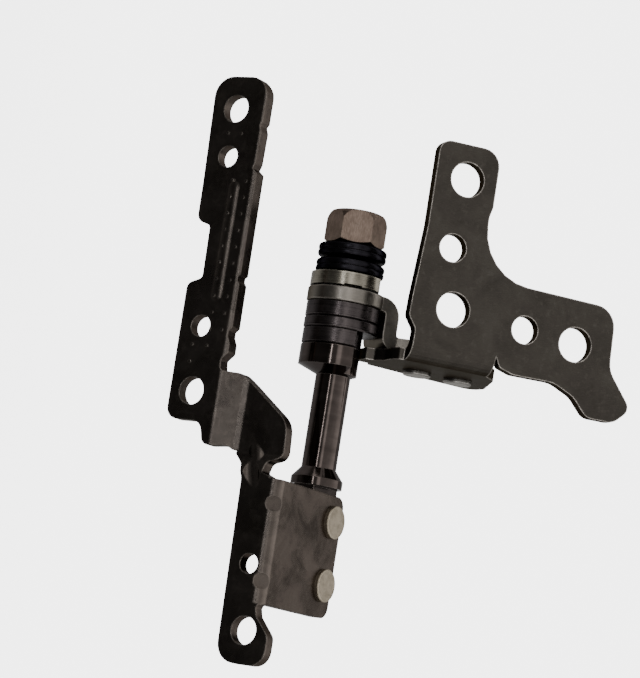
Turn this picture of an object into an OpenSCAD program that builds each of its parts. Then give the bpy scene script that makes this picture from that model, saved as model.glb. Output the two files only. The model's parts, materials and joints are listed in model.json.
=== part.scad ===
// Laptop hinge: riveted display arm, friction stack and base bracket.
// X runs along the hinge shaft, Z up from the case floor side to the lid side,
// the base plate lies flat and the arm stands at the chosen lid angle.

/* [Pose] */
// Lid angle, 0 closed and 180 opened flat
lid_open = 130; // [0:5:180]

/* [Sheet metal] */
// Thickness of the arm and base sheets
sheet_t = 1.2; // [1.0:0.1:1.3]
// Thickness of the ear bracket
ear_t = 1.45; // [1.4:0.05:1.5]

/* [Display arm] */
// Free end of the long strip, from the shaft shoulder
strip_end = 24.9; // [24.4:0.1:27]
// Tail end of the arm, from the shaft shoulder
tail_end = 32.85; // [32.4:0.05:34]
// Outer face of the arm above the shaft axis
arm_face = 10.8; // [10.4:0.1:11.2]
// Step between the strip and the neck of the arm
joggle = 1.5; // [1.2:0.1:1.8]
// Display screw hole diameter
arm_screw_d = 2.8; // [2.4:0.1:3.0]
// Small locating hole diameter
arm_pin_d = 2.2; // [1.8:0.1:2.3]

/* [Base bracket] */
// Top face of the base plate above the shaft axis
plate_face = 8.0; // [7.6:0.1:8.4]
// Base screw hole diameter
base_screw_d = 3.5; // [3.0:0.1:3.6]
// Base locating hole diameter
base_pin_d = 2.8; // [2.4:0.1:3.0]
// Outside radius of the base bend
base_bend_r = 1.9; // [1.6:0.1:2.0]

/* [Shaft] */
// Diameter of the plain shaft
shaft_d = 3.5; // [3.2:0.1:3.8]
// Diameter of the journal under the washers
journal_d = 3.0; // [2.8:0.1:3.0]
// Diameter of the stop collar
collar_d = 7.4; // [7.2:0.1:7.4]
// Width across the flats of journal and tongue
flats_w = 2.3; // [2.1:0.1:2.4]

/* [Friction stack] */
// Outside diameter of the disc springs
disc_d = 6.9; // [6.4:0.1:7.1]
// Outside diameter of the cam follower and the washers
cam_d = 7.5; // [7.2:0.1:7.5]
// Nut width across the flats
nut_af = 5.3; // [5.0:0.1:5.6]

/* [Hidden] */
$fn = 96;

run = 0.05;                 // running clearance between moving pieces
jr = journal_d / 2;
sr = shaft_d / 2;
cr = collar_d / 2;
cam_r = cam_d / 2;
disc_r = disc_d / 2;
fw = flats_w / 2;
arm_in = arm_face - sheet_t;      // inner face of strip and tail
neck = arm_face - joggle;         // outer face of the neck
plate_in = plate_face - sheet_t;
flange_out = 0.7;                 // outer face of the base flange
flange_in = flange_out - sheet_t;
tab_in = flange_in - ear_t;
x_ear = -5.75;                    // outer face of the ear
x_fric = x_ear + ear_t;
x_thrust = -2.7;
x_stop = -1.6;
x_follow = -7.25;
disc_t = 0.8;                     // axial room taken by one disc spring
x_disc = x_follow - 4 * disc_t;
x_nut = x_disc - 3.4;
x_jend = x_nut + 0.25;
rv1 = 17.4;                       // arm rivets along the shaft
rv2 = 23.7;
bv1 = 8.9;                        // base rivets along Y
bv2 = 13.4;
d_q = fw + sheet_t;               // outer face of the riveted wall
d_bend = 1.1;
stop_floor = 2.3;
bead_r = 1.1;
bead_h = 0.2;
rv_z = -0.3;                      // arm rivets, off the shaft axis
bv_z = -0.5;
steel = [0.34, 0.31, 0.29];
black = [0.12, 0.11, 0.12];

// ---- corner rounding: every point is [x, y, radius]
function _u(v) = v / norm(v);
function _c(a, b, c) =
    let(p = [b[0], b[1]], r = b[2],
        ua = _u([a[0], a[1]] - p), ub = _u([c[0], c[1]] - p),
        ang = acos(max(-1, min(1, ua * ub))))
    (r <= 0 || ang > 176) ? [p] :
    let(m = p + _u(ua + ub) * r / sin(ang / 2),
        s = p + ua * r / tan(ang / 2) - m,
        a0 = atan2(s[1], s[0]),
        turn = (ua[0] * ub[1] - ua[1] * ub[0]) > 0 ? -1 : 1,
        n = max(1, ceil((180 - ang) / 15)))
    [for (i = [0:n]) m + r * [cos(a0 + turn * (180 - ang) * i / n),
                              sin(a0 + turn * (180 - ang) * i / n)]];
function rounded(p) = [for (i = [0:len(p) - 1])
    each _c(p[(i + len(p) - 1) % len(p)], p[i], p[(i + 1) % len(p)])];

// ---- prisms along each axis
module along_x(x0, x1) translate([x0, 0, 0]) rotate([90, 0, 90])
    linear_extrude(height = x1 - x0) children();
module along_y(y0, y1) translate([0, y1, 0]) rotate([90, 0, 0])
    linear_extrude(height = y1 - y0) children();
module along_z(z0, z1) translate([0, 0, z0])
    linear_extrude(height = z1 - z0) children();
module rod(x0, x1, r) translate([x0, 0, 0]) rotate([0, 90, 0])
    cylinder(h = x1 - x0, r = r);
module on_arm() rotate([180 - lid_open, 0, 0]) children();

// round rod with two flats, the same section for the shaft and its bores
module double_d(x0, x1) intersection() {
    rod(x0, x1, jr);
    translate([x0 - 1, -fw, -jr - 1]) cube([x1 - x0 + 2, flats_w, 2 * jr + 2]);
}

// sector between two angles, outside the notch floor
module stop_sector(x0, x1) difference() {
    along_x(x0, x1) polygon(concat([[0, 0]],
        [for (i = [0:8]) 9 * [cos(155 + 237.5 * i / 8), sin(155 + 237.5 * i / 8)]]));
    rod(x0 - 1, x1 + 1, stop_floor);
}

// ================= arm side =================
arm_outline = rounded([
    [-strip_end, -12.3, 2.0], [-14.0, -11.95, 0], [-10.05, -11.9, 0.95],
    [-9.7, -10.3, 0.5], [-4.3, -10.2, 0.5], [-3.7, -11.85, 0.8],
    [9.9, -11.8, 1.2], [9.9, -7.7, 1.2], [12.3, -7.1, 0.8],
    [11.9, -4.8, 1.4], [13.6, -2.6, 1.5], [15.0, -1.95, 2.0],
    [tail_end, -1.6, 2.0], [tail_end, 3.8, 1.6], [29.9, 3.8, 1.0],
    [28.1, 2.2, 0.6], [27.3, 2.0, 0.3], [26.9, 2.2, 0],
    [26.9, d_q - d_bend, 0], [14.7, d_q - d_bend, 0], [14.3, 0.2, 0.3],
    [13.2, 0.0, 0.45], [12.65, 1.5, 1.1], [9.1, 1.3, 2.2],
    [4.75, -4.5, 0.8], [4.75, -6.4, 0.35], [3.7, -6.5, 0.4],
    [2.95, -5.95, 0.6], [2.0, -5.95, 0.4], [1.3, -6.2, 0.3], [0.75, -6.2, 0.2],
    [0.35, -5.92, 0.2], [-3.95, -5.95, 0.2], [-4.3, -6.15, 0.12], [-4.7, -6.15, 0.12],
    [-4.95, -5.95, 0.1], [-15.2, -6.0, 0.15], [-15.6, -6.42, 0.12],
    [-16.2, -6.25, 0.3], [-19.4, -6.2, 0.3], [-20.0, -6.38, 0.15],
    [-20.4, -6.2, 0.1], [-strip_end, -6.2, 1.9]]);

// strip, step down and neck, seen along the shaft
strip_section = rounded([
    [-14, arm_face, 0], [-6.35, arm_face, 0.9], [-3.7, neck, 2.2],
    [4, neck, 0], [4, neck - sheet_t, 0], [-4.0, neck - sheet_t, 3.4],
    [-6.8, arm_in, 0.4], [-14, arm_in, 0]]);

// neck to tail, seen across the shaft
tail_section = rounded([
    [11.9, neck, 0], [12.4, neck, 0.5], [14.4, arm_face, 0.5],
    [36, arm_face, 0], [36, arm_in, 0], [14.8, arm_in, 0.5],
    [12.8, neck - sheet_t, 0.5], [11.9, neck - sheet_t, 0]]);

// riveted wall folded down from the tail
wall_section = rounded([
    [-1.0, arm_face, 0], [d_q, arm_face, d_bend], [d_q, -2.0, 0],
    [fw, -2.0, 0], [fw, arm_in, 0.3], [-1.0, arm_in, 0]]);

// rod across the bend, its near side 0.36 under the bend's outer curve
dart_r = 1.0;
dart_off = (d_bend - 0.36 + dart_r) / sqrt(2);
module dart(x, r) translate([x, d_q - d_bend + dart_off, arm_face - d_bend + dart_off])
    rotate([45, 0, 0]) cylinder(r = r, h = 9, center = true);

module pip(x, q, up) translate([x, q, arm_face - 0.1])
    cylinder(r = 0.16, h = 0.14 + up, $fn = 24);

module arm_sheet() {
    intersection() {
        along_z(4, 12) polygon(arm_outline);
        along_x(-40, 12.3) polygon(strip_section);
    }
    intersection() {
        along_z(4, 12) intersection() {
            polygon(arm_outline);
            translate([11.9, -3.9]) square([25, 9]);
        }
        along_y(-6, 6) polygon(tail_section);
    }
    intersection() {
        along_x(14.8, 26.9) polygon(wall_section);
        along_y(-3, 4) polygon(rounded([[14.8, -2.0, 1.2], [26.9, -2.0, 1.2],
            [26.9, 12, 0], [14.8, 12, 0]]));
    }
    // backs of the two bend darts
    for (x = [17.2, 24.7]) intersection() {
        dart(x, dart_r + 1.2);
        translate([14.9, -4, 5]) cube([11.9, 4.1 + fw, arm_in - 4.9]);
    }
    // raised bead on the strip
    intersection() {
        union() {
            translate([0, -8.2, arm_face + bead_h - bead_r]) rod(-13.6, -2.7, bead_r);
            for (x = [-13.6, -2.7]) translate([x, -8.2, arm_face + bead_h - bead_r])
                sphere(r = bead_r);
        }
        translate([-16, -10, arm_face - 0.5]) cube([16, 4, 2]);
    }
    // rows of tiny raised pips beside and over the bead
    for (i = [0:9]) pip(-14.28 + 1.67 * i, -6.95, 0);
    for (i = [0:10]) pip(-14.28 + 1.67 * i, -8.4, i < 8 ? bead_h : 0);
    for (h = [[-19.1, -8.4], [-19.1, -9.95], [2.4, -10.1], [4.1, -10.1]]) pip(h[0], h[1], 0);
    // stiffening bead: raised where the sheet bends up from the neck
    intersection() {
        gusset(-gusset_r, gusset_r);
        along_y(-6, 3) polygon([[9.5, neck - 0.6], [12.6, neck - 0.6],
            [14.6, arm_face - 0.6], [15, 13], [9.5, 13]]);
    }
}

// rod along the bead, its centre line at a distance from the bead's floor line
gusset_r = 1.1;
module gusset(off, r) translate([13.6, -1.2, (neck + arm_face) / 2 + off / cos(16.7)])
    rotate([0, 0, 23.7]) rotate([0, -16.7, 0]) rod(-4.6, 4.6, r);

module display_arm() color(black) on_arm() difference() {
    arm_sheet();
    // strip holes
    for (h = [[-21.6, -9.45, arm_screw_d], [-16.7, -9.5, arm_pin_d],
              [0.5, -9.45, arm_pin_d], [7.0, -9.3, arm_screw_d],
              [23.2, 0.45, arm_pin_d - 0.2], [29.6, 1.05, arm_screw_d]])
        translate([h[0], h[1], 6]) cylinder(d = h[2], h = 8);
    // groove behind the raised bead
    translate([0, -8.2, arm_in + bead_h - bead_r]) {
        rod(-13.6, -2.7, bead_r);
        for (x = [-13.6, -2.7]) translate([x, 0, 0]) sphere(r = bead_r);
    }
    // the bead runs on as a groove where the sheet bends down again
    intersection() {
        gusset(gusset_r, gusset_r);
        translate([13, -4, neck]) cube([6, 6, 4]);
    }
    // darts pressed into the bend
    for (x = [17.2, 24.7]) dart(x, dart_r);
    // rivet holes
    for (x = [rv1, rv2]) translate([x, 0, rv_z]) rotate([-90, 0, 0])
        cylinder(r = 1.1, h = 5);
}

module arm_rivet(x) color([0.78, 0.74, 0.66]) on_arm() translate([x, 0, rv_z])
    rotate([-90, 0, 0]) rotate_extrude() polygon([
        [0, -fw - 0.5], [1.1, -fw - 0.5], [1.5, -fw - 0.3], [1.6, -fw],
        [1.1, -fw], [1.1, d_q], [1.65, d_q], [1.65, d_q + 0.42],
        [1.57, d_q + 0.5], [0, d_q + 0.5]]);

module shaft() color([0.2, 0.2, 0.21]) on_arm() difference() {
    union() {
        double_d(x_jend, 0.5);
        rotate([0, 90, 0]) rotate_extrude() polygon([
            [0, 0], [cr - 0.15, 0], [cr, 0.15], [cr, 2.1], [sr, 2.9],
            [sr, 12.25], [2.6, 13.3], [2.6, 14.1], [0, 14.1]]);
        along_y(-fw, fw) polygon(rounded([[14, -2.3, 0], [26.2, -2.3, 0.5],
            [26.2, 2.3, 0.5], [14, 2.3, 0]]));
    }
    stop_sector(-0.01, 3.1);
    for (x = [rv1, rv2]) translate([x, 0, rv_z]) rotate([90, 0, 0])
        cylinder(r = 1.1, h = 8, center = true);
}

// ring with broken edges
module washer(x0, x1, ro, e = 0.12) translate([x0, 0, 0]) rotate([0, 90, 0])
    rotate_extrude() polygon([[0, 0], [ro - e, 0], [ro, e],
        [ro, x1 - x0 - e], [ro - e, x1 - x0], [0, x1 - x0]]);

module stop_washer() color(black) on_arm() difference() {
    washer(x_stop, 0, cr);
    double_d(x_stop - 1, 1);
    stop_sector(x_stop - 0.5, 0.5);
}

module thrust_washer() color(black) on_arm() difference() {
    washer(x_thrust, x_stop, cam_r);
    double_d(x_thrust - 1, 1);
}

module cam_follower() color([0.7, 0.67, 0.6]) on_arm() difference() {
    rod(x_follow, -5.92, cam_r);
    double_d(x_follow - 1, -5);
    // flat ground on one side
    rotate([-31.5, 0, 0]) translate([x_follow - 1, 3.2, -5]) cube([4, 3, 10]);
    // cam valleys facing the lobes of the ear
    for (a = [0, 180]) rotate([a + 50, 0, 0]) translate([-6.04, 1.9, -0.9])
        cube([1, 4, 1.8]);
}

// one dished spring with flat seats at bore and rim and a rounded rim
disc_half = [[jr + 0.05, 0], [jr + 0.35, 0], [disc_r - 0.2, 0.17],
    [disc_r - 0.06, 0.27], [disc_r, 0.42], [disc_r, 0.62],
    [disc_r - 0.06, 0.77], [disc_r - 0.2, disc_t], [disc_r - 0.45, disc_t],
    [jr + 0.05, 0.66]];
module disc_spring(k) color(black) on_arm() translate([x_disc + k * disc_t, 0, 0])
    rotate([0, 90, 0]) rotate_extrude() polygon(
        (k % 2 == 0) ? disc_half : [for (p = disc_half) [p[0], disc_t - p[1]]]);

module lock_nut() color([0.45, 0.4, 0.35]) on_arm() difference() {
    intersection() {
        translate([x_nut, 0, 0]) rotate([26.9, 0, 0]) rotate([90, 0, 90])
            cylinder(d = nut_af / cos(30), h = x_disc - x_nut, $fn = 6);
        translate([x_nut, 0, 0]) rotate([0, 90, 0]) rotate_extrude() polygon([
            [0, 0], [nut_af / 2 - 0.3, 0], [nut_af / 2, 0.12],
            [nut_af / 2 + 0.2, 0.38], [nut_af / 2 + 0.34, 0.75],
            [nut_af / 2 + 0.6, 1.6], [nut_af / 2 + 0.6, 3.0],
            [nut_af / 2 - 0.05, 3.4], [0, 3.4]]);
    }
    rod(x_nut - 1, x_disc + 1, jr);
    // countersink at the free end
    translate([x_nut, 0, 0]) rotate([0, 90, 0])
        translate([0, 0, -0.01]) cylinder(r1 = jr + 0.35, r2 = jr, h = 0.35);
}

// ================= base side =================
plate_outline = rounded([
    [-21.5, 4.6, 1.2], [-12.7, 4.6, 6], [-5.4, 4.1, 4], [-3.5, 4.05, 0.8],
    [-2.3, 4.9, 0.6], [flange_out - base_bend_r, 4.9, 0],
    [flange_out - base_bend_r, 13.8, 0], [-0.2, 14.3, 0.5], [0.25, 15.8, 1.5],
    [0.2, 20.3, 2.5], [1.2, 22.6, 2.0], [3.0, 24.3, 1.4], [3.0, 27.3, 1.5],
    [1.35, 29.0, 1.0], [-2.2, 26.1, 2.6], [-8.4, 25.9, 2.2],
    [-8.75, 10.9, 5.3], [-14.8, 10.9, 1.0], [-15.8, 11.15, 1.0],
    [-21.5, 11.15, 1.8]]);

flange_outline = rounded([
    [4.9, plate_face - base_bend_r, 0], [4.4, 6.0, 0.3], [4.0, 4.9, 0.8],
    [4.0, 3.1, 0.5], [3.35, 1.75, 0.3], [2.5, 1.5, 0.15],
    [2.5, -1.1, 0.15], [4.05, -1.2, 0.2], [4.05, -2.2, 0.5],
    [10.0, -3.9, 3.0], [17.0, -5.6, 1.2], [17.4, -3.0, 1.4],
    [15.5, 4.0, 2.0], [13.8, plate_face - base_bend_r, 0]]);

base_section = rounded([
    [flange_out - base_bend_r - 0.6, plate_face, 0],
    [flange_out, plate_face, base_bend_r],
    [flange_out, plate_face - base_bend_r - 0.6, 0],
    [flange_in, plate_face - base_bend_r - 0.6, 0],
    [flange_in, plate_in, base_bend_r - sheet_t],
    [flange_out - base_bend_r - 0.6, plate_in, 0]]);

module base_bracket() color(steel) difference() {
    union() {
        along_z(plate_in, plate_face) polygon(plate_outline);
        along_y(4.9, 13.8) polygon(base_section);
        along_x(flange_in, flange_out) polygon(flange_outline);
    }
    for (h = [[-18.0, 8.0, base_screw_d], [-4.9, 8.55, base_screw_d],
              [-4.0, 22.0, base_screw_d], [-10.95, 7.55, base_pin_d],
              [-4.4, 16.4, base_pin_d]])
        translate([h[0], h[1], 4]) cylinder(d = h[2], h = 6);
    for (y = [bv1, bv2]) translate([-2, y, bv_z]) rotate([0, 90, 0])
        cylinder(r = 1.0, h = 5);
}

module ear_bracket() color(steel) difference() {
    union() {
        // ear round the journal, with two low cam lobes on its outer face
        washer(x_ear, x_fric, 3.85);
        for (a = [0, 180]) rotate([a + 35, 0, 0]) translate([x_ear - 0.11, 2.1, -0.7])
            cube([0.3, 1.2, 1.4]);
        // ear, wall and tab, one strip bent twice
        intersection() {
            along_z(-3.6, 3.0) polygon(rounded([
                [x_ear, 0, 0], [x_ear, 3.8 + ear_t, 2.0],
                [tab_in, 3.8 + ear_t, 0.3], [tab_in, 15.8, 0],
                [flange_in, 15.8, 0], [flange_in, 3.8, 1.4],
                [x_fric, 3.8, 0.3], [x_fric, 0, 0]]));
            along_x(x_ear - 1, 2) polygon(rounded([
                [0, 2.0, 0], [0, -3.6, 0], [4.2, -3.6, 0.5],
                [15.8, -3.3, 1.6], [15.8, 2.4, 1.6], [7.2, 2.8, 1.5],
                [5.4, 2.0, 1.0]]));
        }
    }
    rod(x_ear - 1, x_fric + 0.001, jr + run);
    // room for the washers that turn beside the wall
    rod(x_fric, flange_in + 1, cam_r + run);
    for (y = [bv1, bv2]) translate([-5, y, bv_z]) rotate([0, 90, 0])
        cylinder(r = 1.0, h = 8);
}

module base_rivet(y) color([0.8, 0.78, 0.74]) translate([0, y, bv_z])
    rotate([0, 90, 0]) rotate_extrude() polygon([
        [0, tab_in - 0.45], [1.1, tab_in - 0.45], [1.4, tab_in - 0.25],
        [1.45, tab_in], [1.0, tab_in], [1.0, flange_out],
        [1.45, flange_out], [1.45, flange_out + 0.3],
        [1.3, flange_out + 0.45], [0, flange_out + 0.45]]);

module friction_washer() color(black) difference() {
    washer(x_fric, x_thrust - 0.02, cam_r);
    rod(x_fric - 1, 0, jr + run);
}

base_bracket();
ear_bracket();
base_rivet(bv1);  // base_rivet_1
base_rivet(bv2);  // base_rivet_2
friction_washer();
shaft();
display_arm();
arm_rivet(rv1);  // arm_rivet_1
arm_rivet(rv2);  // arm_rivet_2
stop_washer();
thrust_washer();
cam_follower();
disc_spring(0);  // disc_spring_1
disc_spring(1);  // disc_spring_2
disc_spring(2);  // disc_spring_3
disc_spring(3);  // disc_spring_4
lock_nut();
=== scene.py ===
import json
import math
import bpy
from mathutils import Matrix, Vector


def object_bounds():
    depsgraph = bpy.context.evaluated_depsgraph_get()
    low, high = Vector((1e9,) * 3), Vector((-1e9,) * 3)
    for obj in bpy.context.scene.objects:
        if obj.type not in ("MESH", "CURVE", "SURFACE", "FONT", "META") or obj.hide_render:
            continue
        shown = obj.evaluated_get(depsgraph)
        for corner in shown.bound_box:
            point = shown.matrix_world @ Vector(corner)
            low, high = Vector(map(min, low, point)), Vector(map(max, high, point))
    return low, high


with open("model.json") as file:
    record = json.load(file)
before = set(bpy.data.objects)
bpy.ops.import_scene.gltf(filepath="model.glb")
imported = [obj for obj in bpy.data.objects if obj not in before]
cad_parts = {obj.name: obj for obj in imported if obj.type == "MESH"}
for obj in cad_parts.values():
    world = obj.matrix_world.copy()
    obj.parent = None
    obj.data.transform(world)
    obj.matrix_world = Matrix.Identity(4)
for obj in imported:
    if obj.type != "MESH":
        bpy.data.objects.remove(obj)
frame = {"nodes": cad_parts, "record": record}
cad_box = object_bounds()
nodes = frame["nodes"]
MM = 0.001


# ---------------------------------------------------------------- camera
def make_camera():
    phi, tau, psi = math.radians(9.0), math.radians(8.0), math.radians(18.5)
    rx = Matrix(((1, 0, 0), (0, math.cos(tau), math.sin(tau)), (0, -math.sin(tau), math.cos(tau))))
    rz = Matrix(((math.cos(phi), math.sin(phi), 0), (-math.sin(phi), math.cos(phi), 0), (0, 0, 1)))
    r = rz @ rx
    a = r @ Vector((0, 1, 0))
    n = r @ Vector((math.sin(psi), 0, math.cos(psi)))
    e = r @ Vector((math.cos(psi), 0, -math.sin(psi)))
    # rows: part axes written in the camera's own axes
    part = Matrix((-a, e, n))
    pos = part @ (Vector((-1.76, 0.92, 300.0)) * MM)
    cam = bpy.data.cameras.new("cam")
    cam.sensor_fit = "HORIZONTAL"
    cam.sensor_width = 36.0
    cam.lens = 168.75
    cam.clip_start = 0.01
    cam.clip_end = 10.0
    ob = bpy.data.objects.new("cam", cam)
    bpy.context.scene.collection.objects.link(ob)
    ob.matrix_world = Matrix.Translation(pos) @ part.to_4x4()
    bpy.context.scene.camera = ob


# ---------------------------------------------------------------- materials
class Mat:
    """A small wrapper that builds one procedural material."""

    def __init__(self, name):
        self.m = bpy.data.materials.new(name)
        self.m.use_nodes = True
        self.t = self.m.node_tree
        self.t.nodes.clear()
        self.out = self.t.nodes.new("ShaderNodeOutputMaterial")
        self.b = self.t.nodes.new("ShaderNodeBsdfPrincipled")
        self.t.links.new(self.b.outputs[0], self.out.inputs[0])
        self.co = self.t.nodes.new("ShaderNodeTexCoord")
        self.geo = self.t.nodes.new("ShaderNodeNewGeometry")

    def link(self, a, b):
        self.t.links.new(a, b)

    def coords(self, scale=(1, 1, 1), rot=(0, 0, 0)):
        mp = self.t.nodes.new("ShaderNodeMapping")
        mp.inputs["Scale"].default_value = tuple(1000.0 * s for s in scale)
        mp.inputs["Rotation"].default_value = rot
        self.link(self.co.outputs["Object"], mp.inputs["Vector"])
        return mp.outputs["Vector"]

    def noise(self, scale, detail=4.0, rough=0.55, stretch=(1, 1, 1), rot=(0, 0, 0), dist=0.0):
        n = self.t.nodes.new("ShaderNodeTexNoise")
        n.inputs["Scale"].default_value = scale
        n.inputs["Detail"].default_value = detail
        n.inputs["Roughness"].default_value = rough
        n.inputs["Distortion"].default_value = dist
        self.link(self.coords(stretch, rot), n.inputs["Vector"])
        return n.outputs["Fac"]

    def ramp(self, fac, stops):
        r = self.t.nodes.new("ShaderNodeValToRGB")
        el = r.color_ramp.elements
        while len(el) < len(stops):
            el.new(0.5)
        for s, (p, c) in zip(el, stops):
            s.position = p
            s.color = (c, c, c, 1) if not isinstance(c, tuple) else (c[0], c[1], c[2], 1)
        self.link(fac, r.inputs["Fac"])
        return r.outputs["Color"]

    def math(self, op, a, b=None, clamp=False):
        n = self.t.nodes.new("ShaderNodeMath")
        n.operation = op
        n.use_clamp = clamp
        for i, v in enumerate((a, b)):
            if v is None:
                continue
            if isinstance(v, (int, float)):
                n.inputs[i].default_value = v
            else:
                self.link(v, n.inputs[i])
        return n.outputs[0]

    def mix(self, fac, a, b, mode="MIX"):
        n = self.t.nodes.new("ShaderNodeMix")
        n.data_type = "RGBA"
        n.blend_type = mode
        if isinstance(fac, (int, float)):
            n.inputs["Factor"].default_value = fac
        else:
            self.link(fac, n.inputs["Factor"])
        for key, v in ((6, a), (7, b)):
            if isinstance(v, tuple):
                n.inputs[key].default_value = (v[0], v[1], v[2], 1)
            else:
                self.link(v, n.inputs[key])
        return n.outputs[2]

    def edge(self, radius, lo, hi):
        """1 on sharp outer edges, 0 on flats."""
        bv = self.t.nodes.new("ShaderNodeBevel")
        bv.samples = 4
        bv.inputs["Radius"].default_value = radius * MM
        d = self.t.nodes.new("ShaderNodeVectorMath")
        d.operation = "DOT_PRODUCT"
        self.link(bv.outputs[0], d.inputs[0])
        self.link(self.geo.outputs["Normal"], d.inputs[1])
        return self.ramp(self.math("SUBTRACT", 1.0, d.outputs["Value"]), [(lo, 0.0), (hi, 1.0)])

    def bump(self, heights, round_edge=None):
        """heights: list of (socket, strength, distance in mm)."""
        nrm = None
        if round_edge:
            bv = self.t.nodes.new("ShaderNodeBevel")
            bv.samples = 6
            bv.inputs["Radius"].default_value = round_edge * MM
            nrm = bv.outputs[0]
        for sock, strength, dist in heights:
            bp = self.t.nodes.new("ShaderNodeBump")
            bp.inputs["Strength"].default_value = strength
            bp.inputs["Distance"].default_value = dist * MM
            self.link(sock, bp.inputs["Height"])
            if nrm is not None:
                self.link(nrm, bp.inputs["Normal"])
            nrm = bp.outputs[0]
        self.link(nrm, self.b.inputs["Normal"])


def turned_rings(m, axis_scale, density):
    """Fine rings round the X axis: noise on the distance from the axis."""
    sx = m.t.nodes.new("ShaderNodeSeparateXYZ")
    m.link(m.coords(), sx.inputs[0])
    r2 = m.math("ADD", m.math("MULTIPLY", sx.outputs["Y"], sx.outputs["Y"]),
                m.math("MULTIPLY", sx.outputs["Z"], sx.outputs["Z"]))
    r = m.math("SQRT", r2)
    cb = m.t.nodes.new("ShaderNodeCombineXYZ")
    m.link(m.math("MULTIPLY", sx.outputs["X"], axis_scale), cb.inputs["X"])
    m.link(m.math("MULTIPLY", r, density), cb.inputs["Y"])
    n = m.t.nodes.new("ShaderNodeTexNoise")
    n.inputs["Scale"].default_value = 1.0
    n.inputs["Detail"].default_value = 3.0
    m.link(cb.outputs[0], n.inputs["Vector"])
    return n.outputs["Fac"]


def arm_coating():
    """Thin black coating over steel: cloudy stains, fine rubbing marks, edges rubbed bare and painted lighter as a
    highlight, and painted light on the faces turned towards +Y.
    """
    m = Mat("arm_coating")
    cloud = m.noise(0.30, 6.0, 0.62, dist=0.6)
    stain = m.noise(1.1, 5.0, 0.6, dist=0.4)
    fine = m.noise(9.0, 3.0)
    rubx = m.noise(1.0, 6.0, 0.7, stretch=(0.25, 5.0, 5.0))
    col = m.ramp(cloud, [(0.32, (0.040, 0.0345, 0.0315)), (0.70, (0.068, 0.059, 0.053))])
    col = m.mix(m.ramp(stain, [(0.50, 0.0), (0.72, 0.55)]), col, (0.098, 0.085, 0.075))
    col = m.mix(m.ramp(rubx, [(0.60, 0.0), (0.80, 0.45)]), col, (0.112, 0.098, 0.087))
    # painted light: faces whose normal points towards +Y get a lighter coat colour, made patchy by the cloud noise, as
    # if lit from that side
    sx = m.t.nodes.new("ShaderNodeSeparateXYZ")
    m.link(m.co.outputs["Normal"], sx.inputs[0])
    painted_light_side = m.math("MULTIPLY", m.ramp(m.math("ADD", m.math("MULTIPLY", sx.outputs["Y"], 0.5), 0.5), [(0.30, 0.0), (0.50, 1.0)]),
                  m.ramp(cloud, [(0.30, 0.15), (0.62, 0.80)]))
    col = m.mix(painted_light_side, col, (0.100, 0.083, 0.073))
    col = m.mix(m.ramp(m.noise(4.5, 2.0), [(0.70, 0.0), (0.78, 0.5)]), col, (0.030, 0.026, 0.023))
    # partly edge wear, partly painted highlight: the rubbed-bare edge colour is made lighter to stand in for the
    # highlight on the rounded edges
    wear = m.math("MULTIPLY", m.edge(0.15, 0.06, 0.30), m.ramp(m.noise(1.6, 5.0), [(0.40, 0.10), (0.64, 0.80)]))
    col = m.mix(wear, col, (0.25, 0.23, 0.21))
    m.link(col, m.b.inputs["Base Color"])
    rough = m.ramp(m.math("ADD", m.math("MULTIPLY", cloud, 0.6), m.math("MULTIPLY", fine, 0.4)),
                   [(0.3, 0.23), (0.7, 0.36)])
    m.link(rough, m.b.inputs["Roughness"])
    m.b.inputs["Metallic"].default_value = 1.0
    m.b.inputs["Specular Tint"].default_value = (0.42, 0.41, 0.40, 1)
    m.bump([(fine, 0.10, 0.015), (stain, 0.12, 0.05)], 0.24)
    return m.m


def plating(name, dark, light, rub, worn, r0, r1):
    """Satin nickel plating with a rolled grain, cloudy tarnish and brighter edges, partly edge wear and partly painted
    highlight.
    """
    m = Mat(name)
    cloud = m.noise(0.28, 6.0, 0.62, dist=0.5)
    spot = m.noise(1.7, 5.0, 0.6)
    grain = m.noise(3.0, 4.0, 0.6, stretch=(6.0, 0.5, 6.0))
    col = m.ramp(cloud, [(0.30, dark), (0.72, light)])
    col = m.mix(m.ramp(grain, [(0.45, 0.0), (0.80, 0.35)]), col, rub)
    col = m.mix(m.ramp(spot, [(0.56, 0.0), (0.76, 0.45)]), col, rub)
    col = m.mix(m.ramp(m.noise(5.0, 2.0), [(0.68, 0.0), (0.78, 0.5)]), col, tuple(0.5 * c for c in dark))
    # edges: partly worn plating, partly painted highlight standing in for the light caught on the rounded edges
    wear = m.math("MULTIPLY", m.edge(0.22, 0.03, 0.22), m.ramp(m.noise(1.5, 5.0), [(0.34, 0.35), (0.56, 1.0)]))
    col = m.mix(wear, col, worn)
    m.link(col, m.b.inputs["Base Color"])
    rough = m.ramp(m.math("ADD", m.math("MULTIPLY", cloud, 0.5), m.math("MULTIPLY", grain, 0.5)),
                   [(0.3, r0), (0.7, r1)])
    m.link(rough, m.b.inputs["Roughness"])
    m.b.inputs["Metallic"].default_value = 1.0
    m.b.inputs["Specular Tint"].default_value = (0.36, 0.35, 0.33, 1)
    m.bump([(grain, 0.08, 0.02), (m.noise(11.0, 2.0), 0.10, 0.02), (spot, 0.10, 0.04)], 0.17)
    return m.m


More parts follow.
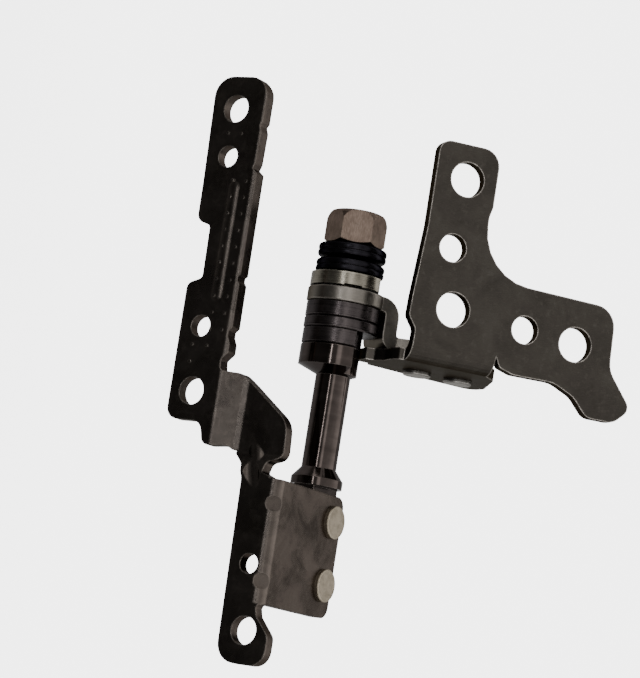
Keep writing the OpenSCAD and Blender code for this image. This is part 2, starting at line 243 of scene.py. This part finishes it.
def turned_metal(name, dark, light, r0, r1, edge_col, dens=9.0, ax=9.0, bump=0.15, tint=0.7, grime=0.0):
    m = Mat(name)
    rings = turned_rings(m, ax, dens)
    blot = m.noise(0.9, 4.0)
    mixf = m.math("ADD", m.math("MULTIPLY", rings, 0.55), m.math("MULTIPLY", blot, 0.45))
    col = m.ramp(mixf, [(0.35, dark), (0.65, light)])
    if grime:
        col = m.mix(m.ramp(m.noise(2.2, 5.0, 0.65), [(0.52, 0.0), (0.72, grime)]), col,
                    tuple(0.35 * c for c in dark))
    wear = m.math("MULTIPLY", m.edge(0.12, 0.06, 0.28), m.ramp(m.noise(3.0, 4.0), [(0.35, 0.15), (0.6, 0.8)]))
    col = m.mix(wear, col, edge_col)
    m.link(col, m.b.inputs["Base Color"])
    m.link(m.ramp(mixf, [(0.3, r0), (0.7, r1)]), m.b.inputs["Roughness"])
    m.b.inputs["Metallic"].default_value = 1.0
    m.b.inputs["Specular Tint"].default_value = (tint, tint, tint, 1)
    m.bump([(rings, bump, 0.02), (m.noise(12.0, 2.0), 0.06, 0.02)], 0.10)
    return m.m


def ground_nut(name):
    """Hexagon faces with a fine drawn grain along the axis, tarnish in patches."""
    m = Mat(name)
    grain = m.noise(5.0, 5.0, 0.65, stretch=(0.35, 3.0, 3.0), rot=(0.0, 0.35, 0.0))
    blot = m.noise(0.9, 5.0, 0.6)
    mixf = m.math("ADD", m.math("MULTIPLY", grain, 0.6), m.math("MULTIPLY", blot, 0.4))
    col = m.ramp(mixf, [(0.34, (0.068, 0.049, 0.039)), (0.50, (0.115, 0.086, 0.070)), (0.66, (0.19, 0.146, 0.12))])
    col = m.mix(m.ramp(m.noise(2.0, 5.0, 0.65), [(0.56, 0.0), (0.74, 0.5)]), col, (0.046, 0.039, 0.030))
    wear = m.math("MULTIPLY", m.edge(0.12, 0.05, 0.25), m.ramp(m.noise(3.0, 4.0), [(0.35, 0.1), (0.6, 0.7)]))
    col = m.mix(wear, col, (0.30, 0.24, 0.20))
    m.link(col, m.b.inputs["Base Color"])
    m.link(m.ramp(mixf, [(0.3, 0.26), (0.7, 0.42)]), m.b.inputs["Roughness"])
    m.b.inputs["Metallic"].default_value = 1.0
    m.b.inputs["Specular Tint"].default_value = (0.7, 0.66, 0.62, 1)
    m.bump([(grain, 0.22, 0.02), (blot, 0.10, 0.04)], 0.10)
    return m.m


def bright_rivet(name, dark, light, rim, r0, r1):
    """Rivet head: matt face with small dents, brighter pressed rim, dirt in the pits."""
    m = Mat(name)
    blot = m.noise(1.4, 5.0, 0.6)
    pits = m.noise(7.0, 4.0, 0.6)
    col = m.ramp(blot, [(0.3, dark), (0.7, light)])
    col = m.mix(m.ramp(m.noise(2.6, 5.0, 0.65), [(0.55, 0.0), (0.75, 0.55)]), col, tuple(0.45 * c for c in dark))
    wear = m.math("MULTIPLY", m.edge(0.13, 0.05, 0.25), m.ramp(m.noise(2.4, 4.0), [(0.30, 0.3), (0.6, 1.0)]))
    col = m.mix(wear, col, rim)
    m.link(col, m.b.inputs["Base Color"])
    m.link(m.ramp(m.math("ADD", m.math("MULTIPLY", blot, 0.6), m.math("MULTIPLY", pits, 0.4)),
                  [(0.3, r0), (0.7, r1)]), m.b.inputs["Roughness"])
    m.b.inputs["Metallic"].default_value = 1.0
    m.b.inputs["Specular Tint"].default_value = (0.8, 0.78, 0.75, 1)
    m.bump([(pits, 0.15, 0.02), (blot, 0.2, 0.05)], 0.14)
    return m.m


MATS = {
    "arm_coating": arm_coating(),
    "base_plating": plating("base_plating", (0.034, 0.030, 0.0262), (0.054, 0.049, 0.043), (0.078, 0.071, 0.063),
                            (0.60, 0.56, 0.52), 0.32, 0.46),
    "ear_plating": plating("ear_plating", (0.120, 0.110, 0.097), (0.190, 0.176, 0.157), (0.26, 0.24, 0.214),
                           (0.38, 0.35, 0.32), 0.26, 0.40),
    "shaft_polish": turned_metal("shaft_polish", (0.038, 0.031, 0.0285), (0.066, 0.054, 0.050), 0.06, 0.11,
                                 (0.22, 0.20, 0.185), 9.0, 1.2, 0.03, 0.6),
    "rivet_arm": bright_rivet("rivet_arm", (0.20, 0.172, 0.132), (0.30, 0.262, 0.205), (0.55, 0.50, 0.41), 0.30, 0.46),
    "rivet_base": bright_rivet("rivet_base", (0.13, 0.125, 0.118), (0.21, 0.20, 0.19), (0.55, 0.53, 0.50), 0.24, 0.40),
    "cam_nickel": turned_metal("cam_nickel", (0.140, 0.129, 0.105), (0.250, 0.232, 0.194), 0.18, 0.32,
                               (0.50, 0.47, 0.41), 9.0, 9.0, 0.12, 0.7, 0.5),
    "washer_black": turned_metal("washer_black", (0.036, 0.031, 0.032), (0.070, 0.060, 0.060), 0.22, 0.36,
                                 (0.22, 0.20, 0.19), 9.0, 9.0, 0.12, 0.6, 0.5),
    "spring_black": turned_metal("spring_black", (0.008, 0.0075, 0.0095), (0.020, 0.019, 0.023), 0.22, 0.36,
                                 (0.10, 0.09, 0.10), 7.0, 3.0, 0.08, 0.35),
    "nut_bronze": ground_nut("nut_bronze"),
}

for sub in frame["record"]["subparts"]:
    ob = nodes[sub["node"]]
    mat = MATS["ear_plating" if sub["node"] == "ear_bracket" else sub["material_slot"]]
    if not ob.material_slots:
        ob.data.materials.append(mat)
    for s in ob.material_slots:
        s.material = mat


# ---------------------------------------------------------------- stage and light
def floor():
    # low enough for the arm to swing all the way without dipping into it
    arm = nodes["display_arm"]
    reach = max((arm.matrix_world @ v.co).yz.length for v in arm.data.vertices)
    z = min(cad_box[0][2], -reach) - 0.0005
    me = bpy.data.meshes.new("floor")
    s = 3.0
    me.from_pydata([(-s, -s, z), (s, -s, z), (s, s, z), (-s, s, z)], [], [(0, 1, 2, 3)])
    ob = bpy.data.objects.new("floor", me)
    bpy.context.scene.collection.objects.link(ob)
    m = Mat("floor_white")
    col = m.ramp(m.noise(0.02, 3.0), [(0.3, (0.145, 0.145, 0.144)), (0.7, (0.155, 0.155, 0.155))])
    m.link(col, m.b.inputs["Base Color"])
    m.b.inputs["Roughness"].default_value = 0.9
    m.b.inputs["Specular IOR Level"].default_value = 0.1
    m.b.inputs["Emission Color"].default_value = (1, 1, 1, 1)
    lp = m.t.nodes.new("ShaderNodeLightPath")
    # white to the camera; to the metal a pool of light under the part that fades on the arm's side
    sx = m.t.nodes.new("ShaderNodeSeparateXYZ")
    m.link(m.coords(), sx.inputs[0])
    mr = m.t.nodes.new("ShaderNodeMapRange")
    mr.inputs["From Min"].default_value = -46.0
    mr.inputs["From Max"].default_value = -22.0
    mr.inputs["To Min"].default_value = 0.02
    mr.inputs["To Max"].default_value = 0.55
    m.link(sx.outputs["Y"], mr.inputs["Value"])
    m.link(m.math("ADD", m.math("MULTIPLY", lp.outputs["Is Camera Ray"], 4.0), mr.outputs[0]),
           m.b.inputs["Emission Strength"])
    me.materials.append(m.m)


def area(name, direction, dist, size, power, color=(1, 1, 1), target=(0.004, 0.004, 0.0)):
    d = Vector(direction).normalized()
    li = bpy.data.lights.new(name, "AREA")
    li.shape = "RECTANGLE"
    li.size, li.size_y = size
    li.energy = power
    li.color = color
    ob = bpy.data.objects.new(name, li)
    bpy.context.scene.collection.objects.link(ob)
    t = Vector(target)
    ob.location = t + d * dist
    ob.rotation_euler = (-d).to_track_quat("-Z", "Y").to_euler()
    return ob


def lights():
    # soft surround: dark on the arm's side, a bright band over the shaft, even light on the plate's side
    w = bpy.data.worlds.new("studio")
    bpy.context.scene.world = w
    w.use_nodes = True
    t = w.node_tree
    bg = t.nodes["Background"]
    co = t.nodes.new("ShaderNodeTexCoord")
    sx = t.nodes.new("ShaderNodeSeparateXYZ")
    mr = t.nodes.new("ShaderNodeMapRange")
    rp = t.nodes.new("ShaderNodeValToRGB")
    mr.inputs["From Min"].default_value = -1.0
    mr.inputs["From Max"].default_value = 1.0
    t.links.new(co.outputs["Generated"], sx.inputs[0])
    t.links.new(sx.outputs["Y"], mr.inputs["Value"])
    t.links.new(mr.outputs[0], rp.inputs["Fac"])
    t.links.new(rp.outputs[0], bg.inputs["Color"])
    stops = [(-1.0, 0.12), (-0.68, 0.09), (-0.63, 0.45), (-0.34, 0.50), (-0.28, 2.3), (-0.12, 2.9), (-0.04, 1.2),
             (0.06, 1.0), (0.30, 1.05), (0.7, 1.4), (1.0, 2.6)]
    el = rp.color_ramp.elements
    while len(el) < len(stops):
        el.new(0.5)
    for e, (y, v) in zip(el, stops):
        e.position = 0.5 * (y + 1.0)
        c = v / 4.0
        e.color = (c, c * 0.985, c * 0.96, 1)
    bg.inputs["Strength"].default_value = 4.0
    # narrow strip that draws the highlight along the shaft
    area("strip", (0.0, -0.60, 0.80), 0.30, (0.26, 0.013), 0.16)


make_camera()
floor()
lights()
